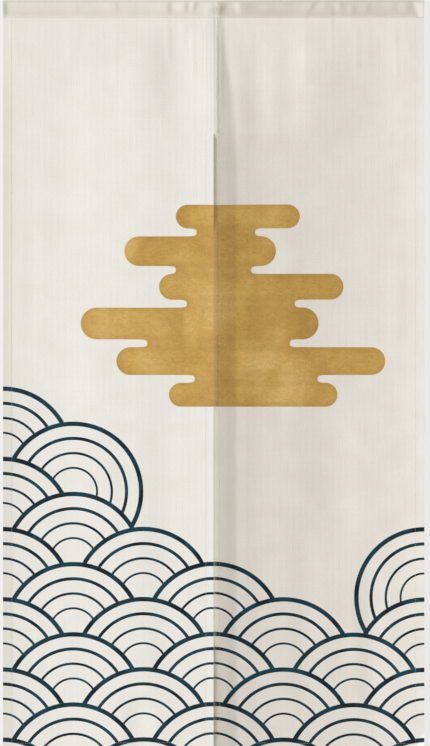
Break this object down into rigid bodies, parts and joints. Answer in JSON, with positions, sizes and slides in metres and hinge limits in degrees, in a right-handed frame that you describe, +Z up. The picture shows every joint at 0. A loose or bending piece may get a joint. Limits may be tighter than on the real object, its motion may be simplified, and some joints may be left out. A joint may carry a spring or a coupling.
{
  "type": "noren curtain",
  "caption": "Pale cotton noren with a rod pocket along the top, its panels sewn together at the top and split below.",
  "frame": {"origin": "middle of the top edge, above the line of the rod that the pocket takes", "axes": "+Z up, +X to the right as seen from the front, -Y towards the viewer"},
  "size_m": [0.85, 0.0342, 1.507],
  "materials": {
    "left_panel": "matte",
    "right_panel": "matte",
    "left_heading": "matte",
    "right_heading": "matte"
  },
  "bodies": {
    "root": {"left_panel": "left_panel", "right_panel": "right_panel", "left_heading": "left_heading", "right_heading": "right_heading"}
  },
  "joints": []
}
